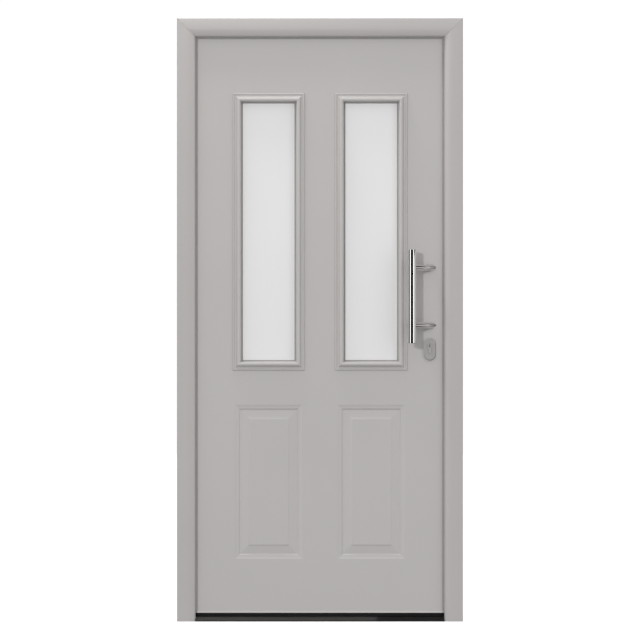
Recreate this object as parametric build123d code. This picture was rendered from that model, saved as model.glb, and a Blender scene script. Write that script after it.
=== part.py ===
from build123d import *
import os

# A painted aluminium front door in its frame, opening inwards.
# X runs across the door, Z up from the underside of the threshold, and Y from the outside to the inside.
# X is zero at the middle of the frame and Y is zero half way through its depth.

# Frame
frame_width = 1000.0
frame_height = 2110.0
frame_depth = 80.0
profile_wall = 2.0
inner_profile_wall = 1.8
flat_width = 36.0
nose_width = 29.0
nose_depth = 19.0
nose_rim = 2.0
rebate_reach = 48.0
inner_face_width = 30.0
outer_depth = 28.0
break_depth = 20.0
step_depth = 4.0
break_inset = 1.0
outer_corner_round = 3.0

# Gaps between leaf and frame
hinge_side_gap = 6.0
lock_side_gap = 10.5
head_gap = 6.0
outer_seal_gap = 6.0
inner_seal_gap = 6.0
seal_clearance = 0.5
seat_gap = 0.1

# Threshold
threshold_height = 17.0
threshold_nose_height = 5.0
threshold_setback = 3.0
threshold_land = 6.0
threshold_core_drop = 1.0
leaf_floor_gap = 13.0

# Frame seals
outer_lip_width = 7.0
outer_seal_root = 12.0
outer_seal_thickness = 2.5
inner_seal_width = 12.0
inner_seal_crown = 6.0
inner_seal_root = 2.0

# Leaf
leaf_thickness = 65.0
sheet = 2.0
edge_width = 40.0
edge_wall = 2.0
edge_outer_depth = 13.0

# Window openings and their mouldings
window_side_margin = 129.5
window_top_margin = 197.0
window_bottom_z = 879.0
moulding_width = 252.0
bead_width = 6.0
bead_height = 5.0
cove_width = 8.0
cove_floor = 2.5
roll_width = 15.0
roll_height = 14.0
roll_shoulder = 7.0
moulding_fall = 2.5
moulding_leg = 4.5
leg_clearance = 0.5
glass_setback = 10.5
pane_thickness = 6.0
pane_edge_gap = 3.0
gasket_thickness = 3.0
gasket_lip = 4.0
spacer_width = 5.5
spacer_inset = 0.5

# Raised and fielded panels
panel_bottom_z = 219.0
panel_width = 235.0
panel_height = 539.0
rim_bevel_width = 6.0
rim_bevel_depth = 1.8
rim_fillet_width = 7.0
rim_fillet_depth = 2.6
groove_wall_width = 5.0
groove_depth = 6.2
slope_width = 27.0
field_step_width = 5.0
field_step_depth = 2.4

# Pull bar outside
bar_diameter = 30.0
bar_length = 328.0
bar_from_lock = 63.0
bar_above_cylinder = 173.0
bar_edge = 1.5
bar_projection = 70.0
standoff_diameter = 22.0
standoff_spacing = 202.0

# Lock
lock_backset = 57.5
cylinder_z = 964.0
cylinder_head = 17.0
cylinder_leg = 10.0
cylinder_height = 33.0
cylinder_projection = 11.0
cylinder_clearance = 0.25
plug_diameter = 13.0
plug_clearance = 0.08
plug_length = 22.0
keyway_width = 2.2
keyway_height = 9.0
keyway_depth = 12.0
escutcheon_width = 40.0
escutcheon_height = 78.0
escutcheon_thickness = 9.0
escutcheon_chamfer = 2.5
escutcheon_drop = 11.0
backplate_width = 32.0
backplate_thickness = 9.0
backplate_corner = 8.0
backplate_chamfer = 2.0
backplate_margin = 74.0
lever_above_cylinder = 92.0
lever_diameter = 20.0
lever_length = 130.0
lever_projection = 52.0
lever_end_chamfer = 3.0

# Lock edge
faceplate_width = 20.0
faceplate_margin = 100.0
faceplate_thickness = 2.0
faceplate_setback = 2.5
bolt_clearance = 0.3
latch_height = 32.0
latch_width = 12.0
deadbolt_height = 36.0
hook_height = 46.0
hook_width = 7.0
hook_inset = 120.0
deadbolt_drop = 52.0
strike_width = 22.0
strike_thickness = 1.5
strike_margin = 30.0
strike_hole_clearance = 1.5

# Hinges
barrel_diameter = 20.0
barrel_length = 110.0
pin_diameter = 9.0
pin_clearance = 0.08
knuckle_gap = 0.6
barrel_cap = 4.0
hinge_axis_lead = 0.5
hinge_axis_height = 14.5
hinge_plate_thickness = 4.0
frame_plate_width = 24.0
frame_plate_edge = 2.5
leaf_plate_width = 44.0
leaf_plate_start = 8.0
leaf_web_width = 16.0
frame_web_width = 14.0
hinge_inset = 230.0

# Bottom of the leaf
drip_height = 7.0
drip_projection = 4.0
drip_lip = 2.5
drip_side_gap = 5.5
drip_seal_gap = 3.0
bottom_seal_thickness = 4.0
bottom_seal_clearance = 1.5
bottom_seal_inset = 5.0

# Wall fixings
fixing_hole = 8.0
fixing_depth_from_inside = 14.0
fixing_spacing = 500.0
fixing_foot_margin = 240.0
fixing_top_margin = 230.0

# Places worked out from the sizes above
half_width = frame_width / 2
half_depth = frame_depth / 2
front_y = -half_depth
nose_reach = flat_width + nose_width
nose_back_y = front_y + nose_depth + nose_rim
break_front_y = front_y + outer_depth
break_back_y = break_front_y + break_depth
step_y = break_back_y + step_depth

leaf_front_y = nose_back_y + outer_seal_gap
leaf_back_y = leaf_front_y + leaf_thickness
lip_front_y = step_y + inner_seal_gap
leaf_left = -half_width + rebate_reach + hinge_side_gap
leaf_right = half_width - rebate_reach - lock_side_gap
leaf_top = frame_height - rebate_reach - head_gap
leaf_bottom = threshold_height + leaf_floor_gap
lip_width = rebate_reach - inner_face_width

window_centre_x = half_width - nose_reach - window_side_margin - moulding_width / 2
moulding_height = frame_height - nose_reach - window_top_margin - window_bottom_z
window_centre_z = window_bottom_z + moulding_height / 2
panel_centre_z = panel_bottom_z + panel_height / 2
relief_width = rim_bevel_width + rim_fillet_width + groove_wall_width + slope_width + field_step_width
moulding_run = bead_width + cove_width + roll_width + moulding_fall
leg_start = moulding_run - moulding_leg
window_width = moulding_width - 2 * (leg_start - leg_clearance)
window_height = moulding_height - 2 * (leg_start - leg_clearance)
pane_width = window_width - 2 * pane_edge_gap
pane_height = window_height - 2 * pane_edge_gap
unit_thickness = leaf_thickness - 2 * glass_setback
leg_depth = glass_setback - gasket_thickness

lock_x = leaf_right - lock_backset
bar_centre_x = lock_x - bar_from_lock
bar_centre_z = cylinder_z + bar_above_cylinder
bar_y = leaf_front_y - bar_projection
foot_x = bar_centre_x + bar_projection
backplate_z = cylinder_z + lever_above_cylinder / 2
backplate_height = lever_above_cylinder + 2 * backplate_margin
lever_z = cylinder_z + lever_above_cylinder

hinge_x = leaf_left - lip_width - hinge_axis_lead - barrel_diameter / 4
hinge_y = leaf_back_y + hinge_axis_height


upwards = (Align.CENTER, Align.CENTER, Align.MIN)


def block(x_range, y_range, z_range):
    """A box between two places along each axis."""
    size = [high - low for low, high in (x_range, y_range, z_range)]
    middle = [(high + low) / 2 for low, high in (x_range, y_range, z_range)]
    return Pos(*middle) * Box(*size)


def outline(*points):
    """A flat face inside straight edges from point to point."""
    return make_face(Polyline(*points, close=True))


def hollow(section, wall):
    """The section of a hollow profile with walls of one thickness."""
    return section - offset(section, -wall, kind=Kind.INTERSECTION)


def prism(face, y_range):
    """A face drawn in X and Z, carried through a range of Y."""
    start = Plane(origin=(0, y_range[0], 0), x_dir=(1, 0, 0), z_dir=(0, -1, 0))
    return extrude(start * face, -(y_range[1] - y_range[0]))


def upright(section, x, z_range):
    """A bar standing at x, whose section is drawn from its outer edge inwards in X and along Y."""
    base = Plane(origin=(x, 0, z_range[0]), x_dir=(1, 0, 0), z_dir=(0, 0, 1))
    return extrude(base * section, z_range[1] - z_range[0])


def crossbar(section, z, x_range):
    """The same bar lying along X, with the section's outer edge at z and its inner side downwards."""
    base = Plane(origin=(x_range[0], 0, z), x_dir=(0, 0, -1), z_dir=(1, 0, 0))
    return extrude(base * section, x_range[1] - x_range[0])


def mitred_frame(section, foot_z=0.0):
    """Left jamb, right jamb and head of one section, cut to each other at 45 degrees at the top corners."""
    corner_z = frame_height - half_width
    jamb_cut = outline(
        (-half_width, 0),
        (0, 0),
        (0, corner_z),
        (-half_width, frame_height),
    )
    head_cut = outline(
        (-half_width, frame_height),
        (0, corner_z),
        (half_width, frame_height),
    )
    depth = (-frame_depth, frame_depth)
    left = upright(section, -half_width, (foot_z, frame_height)) & prism(jamb_cut, depth)
    right = mirror(left, about=Plane.YZ)
    head = crossbar(section, frame_height, (-half_width, half_width)) & prism(head_cut, depth)
    return left, right, head


def mitred_ring(section, width, height, spread=0.0):
    """A closed frame of one section round a rectangle, with its outer edge on the rectangle."""
    half_w = width / 2
    half_h = height / 2
    reach = section.bounding_box().max.X
    side_cut = outline(
        (-half_w - spread, -half_h - spread),
        (-half_w + reach, -half_h + reach),
        (-half_w + reach, half_h - reach),
        (-half_w - spread, half_h + spread),
    )
    end_cut = outline(
        (-half_w - spread, half_h + spread),
        (-half_w + reach, half_h - reach),
        (half_w - reach, half_h - reach),
        (half_w + spread, half_h + spread),
    )
    depth = (-leaf_thickness, leaf_thickness)
    side = upright(section, -half_w, (-half_h - spread, half_h + spread)) & prism(side_cut, depth)
    end = crossbar(section, half_h, (-half_w - spread, half_w + spread)) & prism(end_cut, depth)
    bars = side + mirror(side, about=Plane.YZ)
    return bars + end + mirror(end, about=Plane.XY)


def to_inside(shape):
    """A piece of the leaf's outer face turned into the like piece of its inner face."""
    leaf_middle = Plane(origin=(0, (leaf_front_y + leaf_back_y) / 2, 0), z_dir=(0, 1, 0))
    return mirror(shape, about=leaf_middle)


# Hollow aluminium profiles and the insulating strip between them, drawn from the outer edge in and from the front back
def outer_profile_section():
    """A flat face and a rounded nose, hollow behind both."""
    nose_radius = (nose_width**2 + nose_depth**2) / (2 * nose_depth)
    nose_end = (nose_reach, front_y + nose_depth)
    nose = TangentArc((flat_width, front_y), nose_end, tangent=(1, 0))
    rest = Polyline(
        nose_end,
        (nose_reach, nose_back_y),
        (rebate_reach, nose_back_y),
        (rebate_reach, break_front_y),
        (0, break_front_y),
        (0, front_y),
        (flat_width, front_y),
    )
    section = make_face(nose + rest)
    outer_corner = section.vertices().sort_by(lambda vertex: vertex.X + vertex.Y)[0]

    chamber_front = front_y + profile_wall
    chamber_back = break_front_y - profile_wall
    nose_chamber_back = nose_back_y - profile_wall
    inner_radius = nose_radius - profile_wall
    to_centre = front_y + nose_radius - nose_chamber_back
    chamber_tip = (flat_width + (inner_radius**2 - to_centre**2) ** 0.5, nose_chamber_back)
    chamber_nose = TangentArc((flat_width, chamber_front), chamber_tip, tangent=(1, 0))
    chamber_rest = Polyline(
        chamber_tip,
        (rebate_reach - profile_wall, nose_chamber_back),
        (rebate_reach - profile_wall, chamber_back),
        (profile_wall, chamber_back),
        (profile_wall, chamber_front),
        (flat_width, chamber_front),
    )
    return fillet(outer_corner, outer_corner_round) - make_face(chamber_nose + chamber_rest)


def break_section():
    """The insulating strip's hollow section, set in a little from the metal on both sides."""
    return hollow(
        outline(
            (break_inset, break_front_y),
            (rebate_reach - break_inset, break_front_y),
            (rebate_reach - break_inset, break_back_y),
            (break_inset, break_back_y),
        ),
        profile_wall,
    )


def inner_profile_section():
    """The inner profile, with the step that the leaf's lip closes against."""
    return hollow(
        outline(
            (0, break_back_y),
            (rebate_reach, break_back_y),
            (rebate_reach, step_y),
            (inner_face_width, step_y),
            (inner_face_width, half_depth),
            (0, half_depth),
        ),
        inner_profile_wall,
    )


def outer_seal_section():
    """A flat root behind the nose and a lip that reaches inwards, just short of the leaf."""
    root = nose_reach - outer_seal_root
    lip_end = nose_reach + outer_lip_width
    lip_y = leaf_front_y - seal_clearance
    return outline(
        (root, nose_back_y),
        (nose_reach, nose_back_y),
        (lip_end, lip_y - outer_seal_thickness),
        (lip_end, lip_y),
        (nose_reach, lip_y),
        (nose_reach - outer_lip_width / 2, nose_back_y + outer_seal_thickness),
        (root, nose_back_y + outer_seal_thickness),
    )


def inner_seal_section():
    """A tapered strip on the step, just short of the leaf's lip."""
    middle = (rebate_reach + inner_face_width) / 2
    base = inner_seal_width / 2
    crown = inner_seal_crown / 2
    crown_y = lip_front_y - seal_clearance
    return outline(
        (middle - base, step_y),
        (middle + base, step_y),
        (middle + base, step_y + inner_seal_root),
        (middle + crown, crown_y),
        (middle - crown, crown_y),
        (middle - base, step_y + inner_seal_root),
    )


def frame_profiles():
    """The jambs and the head, each as two aluminium profiles with the insulating strip between them."""
    layers = {
        "outer_profile": mitred_frame(outer_profile_section()),
        "thermal_break": mitred_frame(break_section()),
        "inner_profile": mitred_frame(inner_profile_section()),
    }
    pieces = {}
    for layer, (left, right, head) in layers.items():
        if layer == "inner_profile":
            left = left - fixing_bores(-1)
            right = right - fixing_bores(1)
        pieces[f"hinge_jamb_{layer}"] = left
        pieces[f"lock_jamb_{layer}"] = right
        pieces[f"head_{layer}"] = head
    return pieces


def fixing_bores(side):
    """Bores across one jamb, through which it is screwed to the wall."""
    bores = []
    for pair_z in (fixing_foot_margin, frame_height - fixing_top_margin - fixing_spacing):
        for bore_z in (pair_z, pair_z + fixing_spacing):
            middle = (side * half_width, half_depth - fixing_depth_from_inside, bore_z)
            bore = Rot(0, 90, 0) * Cylinder(fixing_hole / 2, 2 * rebate_reach)
            bores.append(Pos(*middle) * bore)
    return bores


def frame_seals():
    """The rubber seals behind the nose and on the step, each running up, across and down."""
    outer_foot = leaf_bottom + drip_height + drip_seal_gap
    inner_foot = threshold_height + seat_gap
    outer = Part() + list(mitred_frame(outer_seal_section(), outer_foot))
    inner = Part() + list(mitred_frame(inner_seal_section(), inner_foot))
    return {"outer_frame_seal": outer, "inner_frame_seal": inner}


def along_x(section, x_range):
    """A bar along X whose section is drawn in Y and Z."""
    base = Plane(origin=(x_range[0], 0, 0), x_dir=(0, 1, 0), z_dir=(1, 0, 0))
    return extrude(base * section, x_range[1] - x_range[0])


def threshold():
    """The sill between the jambs: a sloping outer profile, an insulating core and a flat inner profile."""
    beside_nose = half_width - nose_reach
    beside_rebate = half_width - rebate_reach
    beside_face = half_width - inner_face_width
    sill_front = front_y + threshold_setback
    outer = along_x(
        hollow(
            outline(
                (sill_front, 0),
                (break_front_y, 0),
                (break_front_y, threshold_height),
                (break_front_y - threshold_land, threshold_height),
                (sill_front, threshold_nose_height),
            ),
            profile_wall,
        ),
        (-beside_rebate, beside_rebate),
    )
    inner = along_x(
        hollow(
            outline(
                (break_back_y, 0),
                (half_depth, 0),
                (half_depth, threshold_height),
                (break_back_y, threshold_height),
            ),
            profile_wall,
        ),
        (-beside_face, beside_face),
    )
    full_height = (0, threshold_height)
    for side in (-1, 1):
        nose_x = sorted((side * beside_nose, side * half_width))
        step_x = sorted((side * beside_rebate, side * half_width))
        outer = outer - block(nose_x, (front_y, nose_back_y), full_height)
        inner = inner - block(step_x, (break_back_y, step_y), full_height)
    core_end = beside_rebate + break_inset
    core = block(
        (-core_end, core_end),
        (break_front_y, break_back_y),
        (0, threshold_height - threshold_core_drop),
    )
    return {"threshold_outer_sill": outer, "threshold_core": core, "threshold_inner_sill": inner}


# The leaf's outline, its edge profiles and its core
body_x = (leaf_left, leaf_right)
body_z = (leaf_bottom, leaf_top)
lip_x = (leaf_left - lip_width, leaf_right + lip_width)
lip_z = (leaf_bottom, leaf_top + lip_width)
core_x = (leaf_left + edge_width, leaf_right - edge_width)
core_z = (leaf_bottom + edge_width, leaf_top - edge_width)
core_front_y = leaf_front_y + sheet
core_back_y = leaf_back_y - sheet
edge_outer_y = (core_front_y, core_front_y + edge_outer_depth)
edge_break_y = (edge_outer_y[1], lip_front_y)
edge_inner_y = (lip_front_y, core_back_y)


def grown(span, amount):
    """A range with both ends moved outwards, or inwards for a negative amount."""
    return (span[0] - amount, span[1] + amount)


def hollow_edge(outer_x, outer_z, y_range, wall):
    """A hollow profile running round the core, with its corners welded."""
    ring = block(outer_x, y_range, outer_z) - block(core_x, y_range, core_z)
    chamber_y = grown(y_range, -wall)
    chamber = block(grown(outer_x, -wall), chamber_y, grown(outer_z, -wall))
    chamber = chamber - block(grown(core_x, wall), chamber_y, grown(core_z, wall))
    return ring - chamber


def leaf_edges():
    """The outer and inner edge profiles of the leaf and the insulating strip between them."""
    return {
        "leaf_edge_outer": hollow_edge(body_x, body_z, edge_outer_y, edge_wall),
        "leaf_edge_break": hollow_edge(body_x, body_z, edge_break_y, edge_wall),
        "leaf_edge_inner": hollow_edge(lip_x, lip_z, edge_inner_y, edge_wall),
    }


def panel_relief_section():
    """The hollow pressed round a panel's field: a stepped rim, a groove, a long slope and a step."""
    bevel_end = rim_bevel_width
    fillet_end = bevel_end + rim_fillet_width
    groove_bottom = fillet_end + groove_wall_width
    slope_end = groove_bottom + slope_width
    return outline(
        (0, leaf_front_y),
        (bevel_end, leaf_front_y + rim_bevel_depth),
        (fillet_end, leaf_front_y + rim_fillet_depth),
        (groove_bottom, leaf_front_y + groove_depth),
        (slope_end, leaf_front_y + field_step_depth),
        (relief_width, leaf_front_y),
        (relief_width, leaf_front_y - sheet),
        (0, leaf_front_y - sheet),
    )


def sheet_relief_section():
    """The back of the pressed sheet under the same hollow."""
    behind_face = outline(
        (-2 * sheet, leaf_front_y),
        (relief_width + 2 * sheet, leaf_front_y),
        (relief_width + 2 * sheet, leaf_front_y + 2 * groove_depth),
        (-2 * sheet, leaf_front_y + 2 * groove_depth),
    )
    return offset(panel_relief_section(), sheet, kind=Kind.INTERSECTION) & behind_face


def at_both_sides(shape, centre_z):
    """The same shape at the left and right window or panel."""
    return [Pos(side * window_centre_x, 0, centre_z) * shape for side in (-1, 1)]


def window_cuts():
    """The two window openings through the whole leaf."""
    half_w = window_width / 2
    half_h = window_height / 2
    opening = block((-half_w, half_w), (leaf_front_y - sheet, leaf_back_y + sheet), (-half_h, half_h))
    return at_both_sides(opening, window_centre_z)


def cylinder_outline(growth=0.0):
    """The round head and narrow leg of a profile cylinder, in X and Z."""
    leg_radius = cylinder_leg / 2 + growth
    head_radius = cylinder_head / 2 + growth
    leg_z = cylinder_z + cylinder_head / 2 - cylinder_height + cylinder_leg / 2
    leg_middle = (cylinder_z + leg_z) / 2
    head = Pos(lock_x, cylinder_z) * Circle(head_radius)
    leg = Pos(lock_x, leg_middle) * Rectangle(2 * leg_radius, cylinder_z - leg_z)
    foot = Pos(lock_x, leg_z) * Circle(leg_radius)
    return head + leg + foot


def leaf_panels():
    """The pressed sheets of both faces and the core between them, with the windows and the lock cut through."""
    relief = at_both_sides(mitred_ring(panel_relief_section(), panel_width, panel_height), panel_centre_z)
    backing = at_both_sides(
        mitred_ring(sheet_relief_section(), panel_width, panel_height, 2 * sheet),
        panel_centre_z,
    )
    cylinder_bore = prism(cylinder_outline(cylinder_clearance), grown((leaf_front_y, leaf_back_y), sheet))
    cuts = window_cuts() + [cylinder_bore]

    outer_skin = block(body_x, (leaf_front_y, core_front_y), body_z) + backing - relief - cuts
    inner_flat = block(lip_x, (core_back_y, leaf_back_y), lip_z)
    inner_backing = [to_inside(shape) for shape in backing]
    inner_relief = [to_inside(shape) for shape in relief]
    inner_skin = inner_flat + inner_backing - inner_relief - cuts
    core = block(core_x, (core_front_y, core_back_y), core_z) - backing - inner_backing - cuts
    return {"leaf_outer_skin": outer_skin, "leaf_inner_skin": inner_skin, "leaf_core": core}


# Windows
def moulding_section():
    """A small bead, a cove and a large roll, with a leg that holds the glass in the opening."""
    bead_end = (bead_width, leaf_front_y - cove_floor)
    roll_start = (bead_width + cove_width, leaf_front_y - roll_shoulder)
    roll_end = (roll_start[0] + roll_width, leaf_front_y - roll_shoulder)
    bead_start = (0, leaf_front_y - cove_floor)
    bead = ThreePointArc(bead_start, (bead_width / 2, leaf_front_y - bead_height), bead_end)
    cove = TangentArc(bead_end, roll_start, tangent=(1, 0))
    roll_top = (roll_start[0] + roll_width / 2, leaf_front_y - roll_height)
    roll = ThreePointArc(roll_start, roll_top, roll_end)
    leg_y = leaf_front_y + leg_depth
    rest = Polyline(
        roll_end,
        (moulding_run, leg_y),
        (leg_start, leg_y),
        (leg_start, leaf_front_y),
        (0, leaf_front_y),
        bead_start,
    )
    return make_face(bead + cove + roll + rest)


def gasket_section():
    """The rubber strip between the moulding's leg and the glass, with its lip reaching inwards."""
    back_y = leaf_front_y + glass_setback
    front = leaf_front_y + leg_depth
    lip_end = moulding_run + gasket_lip
    return outline(
        (leg_start, front),
        (moulding_run, front),
        (lip_end, (front + back_y) / 2),
        (lip_end, back_y),
        (leg_start, back_y),
    )


def windows():
    """Mouldings, gaskets, panes and spacers of both windows."""
    outer_mouldings = at_both_sides(
        mitred_ring(moulding_section(), moulding_width, moulding_height), window_centre_z
    )
    outer_gaskets = at_both_sides(
        mitred_ring(gasket_section(), moulding_width, moulding_height), window_centre_z
    )
    half_w = pane_width / 2
    half_h = pane_height / 2
    pane_front = leaf_front_y + glass_setback
    pane_back = pane_front + pane_thickness
    unit_back = pane_front + unit_thickness
    pane = block((-half_w, half_w), (pane_front, pane_back), (-half_h, half_h))
    spacer_y = (pane_back, unit_back - pane_thickness)
    spacer_x = grown((-half_w, half_w), -spacer_inset)
    spacer_z = grown((-half_h, half_h), -spacer_inset)
    spacer = block(spacer_x, spacer_y, spacer_z)
    spacer = spacer - block(grown(spacer_x, -spacer_width), spacer_y, grown(spacer_z, -spacer_width))
    panes = at_both_sides(pane, window_centre_z)
    spacers = at_both_sides(spacer, window_centre_z)
    pieces = {
        "outer_glazing_gaskets": Part() + outer_gaskets,
        "inner_glazing_gaskets": Part() + [to_inside(ring) for ring in outer_gaskets],
        "glazing_spacers": Part() + spacers,
    }
    for index, name in enumerate(("left", "right")):
        pieces[f"{name}_outer_moulding"] = outer_mouldings[index]
        pieces[f"{name}_inner_moulding"] = to_inside(outer_mouldings[index])
        pieces[f"{name}_outer_pane"] = panes[index]
        pieces[f"{name}_inner_pane"] = to_inside(panes[index])
    return pieces


# Pull bar
def pull_handle():
    """A round bar on two round standoffs that run back and across at 45 degrees to the leaf."""
    radius = bar_diameter / 2
    rod = Cylinder(radius, bar_length)
    bar = Pos(bar_centre_x, bar_y, bar_centre_z) * chamfer(rod.edges().filter_by(GeomType.CIRCLE), bar_edge)
    pieces = {"pull_bar": bar}
    for name, side in (("upper", 1), ("lower", -1)):
        foot_z = bar_centre_z + side * standoff_spacing / 2
        axis = Plane(origin=(bar_centre_x, bar_y, foot_z), z_dir=(1, 1, 0))
        rod_length = 2 * bar_projection
        slanted = axis * Cylinder(standoff_diameter / 2, rod_length, align=upwards)
        in_front = block(
            (bar_centre_x - bar_diameter, foot_x + bar_diameter),
            (bar_y - bar_diameter, leaf_front_y),
            (foot_z - bar_diameter, foot_z + bar_diameter),
        )
        saddle = Pos(bar_centre_x, bar_y, foot_z) * Cylinder(radius + seat_gap, 2 * bar_diameter)
        pieces[f"{name}_standoff"] = (slanted & in_front) - saddle
    return pieces


# Lock
def lock_set():
    """Oval escutcheon outside, profile cylinder through the leaf, long backplate and lever inside."""
    cylinder_cut = cylinder_outline(cylinder_clearance)
    escutcheon_z = cylinder_z - escutcheon_drop
    oval = Pos(lock_x, escutcheon_z) * SlotOverall(escutcheon_height, escutcheon_width, rotation=90)
    escutcheon_front = leaf_front_y - escutcheon_thickness
    escutcheon = prism(oval, (escutcheon_front, leaf_front_y))
    rim = escutcheon.edges().group_by(Axis.Y)[0]
    escutcheon = chamfer(rim, escutcheon_chamfer)
    escutcheon = escutcheon - prism(cylinder_cut, (escutcheon_front, leaf_front_y))

    face_y = leaf_front_y - cylinder_projection
    inside_y = leaf_back_y + cylinder_projection
    bore_radius = plug_diameter / 2 + plug_clearance
    bore_end = face_y + plug_length + knuckle_gap
    bore = prism(Pos(lock_x, cylinder_z) * Circle(bore_radius), (face_y, bore_end))
    keyway = Pos(lock_x, cylinder_z) * Rectangle(keyway_width, keyway_height)
    inside_keyway = prism(keyway, (inside_y - keyway_depth, inside_y))
    cylinder = prism(cylinder_outline(), (face_y, inside_y)) - bore - inside_keyway
    plug = prism(Pos(lock_x, cylinder_z) * Circle(plug_diameter / 2), (face_y, face_y + plug_length))
    plug = plug - prism(keyway, (face_y, face_y + keyway_depth))

    plate_back = leaf_back_y + backplate_thickness
    plate_face = Pos(lock_x, backplate_z) * RectangleRounded(
        backplate_width, backplate_height, backplate_corner
    )
    backplate = prism(plate_face, (leaf_back_y, plate_back))
    backplate = chamfer(backplate.edges().group_by(Axis.Y)[-1], backplate_chamfer)
    backplate = backplate - prism(cylinder_cut, (leaf_back_y, plate_back))

    grip_y = leaf_back_y + lever_projection
    lever_radius = lever_diameter / 2
    neck_start = Plane(origin=(lock_x, plate_back, lever_z), z_dir=(0, 1, 0))
    neck = neck_start * Cylinder(lever_radius, grip_y + lever_radius - plate_back, align=upwards)
    grip_start = Plane(origin=(lock_x + lever_radius, grip_y, lever_z), z_dir=(-1, 0, 0))
    grip = grip_start * Cylinder(lever_radius, lever_length + lever_radius, align=upwards)
    grip = chamfer(grip.edges().group_by(Axis.X)[0], lever_end_chamfer)
    neck_side = outline(
        (lock_x + lever_diameter, plate_back),
        (lock_x + lever_diameter, grip_y + lever_diameter),
        (lock_x - lever_diameter, grip_y - lever_diameter),
        (lock_x - lever_diameter, plate_back),
    )
    neck_side = Pos(0, 0, lever_z - lever_diameter) * extrude(neck_side, 2 * lever_diameter)
    lever = (neck & neck_side) + (grip - neck_side)
    return {
        "outer_escutcheon": escutcheon,
        "lock_cylinder": cylinder,
        "lock_plug": plug,
        "inner_backplate": backplate,
        "inner_lever": lever,
    }


def lock_edge():
    """The faceplate along the leaf's edge with its bolts drawn back, and the strike plates facing them."""
    plate_y = (leaf_front_y + faceplate_setback, leaf_front_y + faceplate_setback + faceplate_width)
    bolt_y = (plate_y[0] + plate_y[1]) / 2
    plate_x = (leaf_right, leaf_right + faceplate_thickness)
    faceplate_z = grown(body_z, -faceplate_margin)
    faceplate = block(plate_x, plate_y, faceplate_z)
    strike_x = (half_width - rebate_reach - strike_thickness, half_width - rebate_reach)
    strike_y = grown((bolt_y, bolt_y), strike_width / 2)
    bolts = [
        (latch_width, latch_height, lever_z),
        (latch_width, deadbolt_height, cylinder_z - deadbolt_drop),
        (hook_width, hook_height, faceplate_z[0] + hook_inset),
        (hook_width, hook_height, faceplate_z[1] - hook_inset),
    ]
    bolt_solids = []
    for width, height, bolt_z in bolts:
        y_range = grown((bolt_y, bolt_y), width / 2)
        z_range = grown((bolt_z, bolt_z), height / 2)
        bolt_solids.append(block(plate_x, y_range, z_range))
        faceplate = faceplate - block(plate_x, grown(y_range, bolt_clearance), grown(z_range, bolt_clearance))

    strikes = []
    lock_strike_z = (bolts[1][2] - deadbolt_height / 2, bolts[0][2] + latch_height / 2)
    hook_strikes = [grown((bolt_z, bolt_z), hook_height / 2) for _, _, bolt_z in bolts[2:]]
    for strike_z in [lock_strike_z] + hook_strikes:
        strikes.append(block(strike_x, strike_y, grown(strike_z, strike_margin)))
    strike_plates = Part() + strikes
    for width, height, bolt_z in bolts:
        hole_y = grown((bolt_y, bolt_y), width / 2 + strike_hole_clearance)
        hole_z = grown((bolt_z, bolt_z), height / 2 + strike_hole_clearance)
        strike_plates = strike_plates - block(strike_x, hole_y, hole_z)
    return {
        "lock_faceplate": faceplate,
        "lock_bolts": Part() + bolt_solids,
        "strike_plates": strike_plates,
    }


# Hinges
def hinge(centre_z):
    """A barrel hinge: the lower knuckle and the pin on the frame half, the upper knuckle on the leaf half."""
    radius = barrel_diameter / 2
    half_length = barrel_length / 2
    plate_z = (centre_z - half_length, centre_z + half_length)
    lower_z = (plate_z[0], centre_z - knuckle_gap / 2)
    upper_z = (centre_z + knuckle_gap / 2, plate_z[1])
    bore_z = (upper_z[0], upper_z[1] - barrel_cap)
    pin_z = (lower_z[0], bore_z[1] - knuckle_gap)

    def drum(size, z_range):
        height = z_range[1] - z_range[0]
        return Pos(hinge_x, hinge_y, z_range[0]) * Cylinder(size / 2, height, align=upwards)

    def web(points, z_range):
        return Pos(0, 0, z_range[0]) * extrude(outline(*points), z_range[1] - z_range[0])

    frame_plate_x = (-half_width + frame_plate_edge, -half_width + frame_plate_edge + frame_plate_width)
    frame_plate_y = (half_depth, half_depth + hinge_plate_thickness)
    frame_plate = block(frame_plate_x, frame_plate_y, plate_z)
    frame_web = [
        (frame_plate_x[1] - frame_web_width, frame_plate_y[0]),
        (frame_plate_x[1], frame_plate_y[0]),
        (hinge_x, hinge_y - radius / 2),
        (hinge_x, hinge_y),
        (hinge_x - radius, hinge_y),
    ]
    frame_half = frame_plate + drum(barrel_diameter, lower_z) + drum(pin_diameter, pin_z) + web(frame_web, lower_z)

    leaf_plate_left = leaf_left - lip_width + leaf_plate_start
    leaf_plate_y = (leaf_back_y, leaf_back_y + hinge_plate_thickness)
    leaf_plate = block((leaf_plate_left, leaf_plate_left + leaf_plate_width), leaf_plate_y, plate_z)
    leaf_web = [
        (leaf_plate_left, leaf_plate_y[0]),
        (leaf_plate_left + leaf_web_width, leaf_plate_y[0]),
        (leaf_plate_left + leaf_web_width, leaf_plate_y[1]),
        (hinge_x + radius / 2, hinge_y + radius / 2),
        (hinge_x, hinge_y),
        (hinge_x, hinge_y - radius / 2),
    ]
    leaf_half = leaf_plate + drum(barrel_diameter, upper_z) + web(leaf_web, upper_z)
    leaf_half = leaf_half - drum(pin_diameter + 2 * pin_clearance, bore_z)
    return frame_half, leaf_half


def hinges():
    """Three hinges spaced evenly up the leaf's edge."""
    lowest = leaf_bottom + hinge_inset
    highest = leaf_top - hinge_inset
    heights = {"lower": lowest, "middle": (lowest + highest) / 2, "upper": highest}
    pieces = {}
    for name, centre_z in heights.items():
        frame_half, leaf_half = hinge(centre_z)
        pieces[f"{name}_hinge_frame_half"] = frame_half
        pieces[f"{name}_hinge_leaf_half"] = leaf_half
    return pieces


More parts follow.
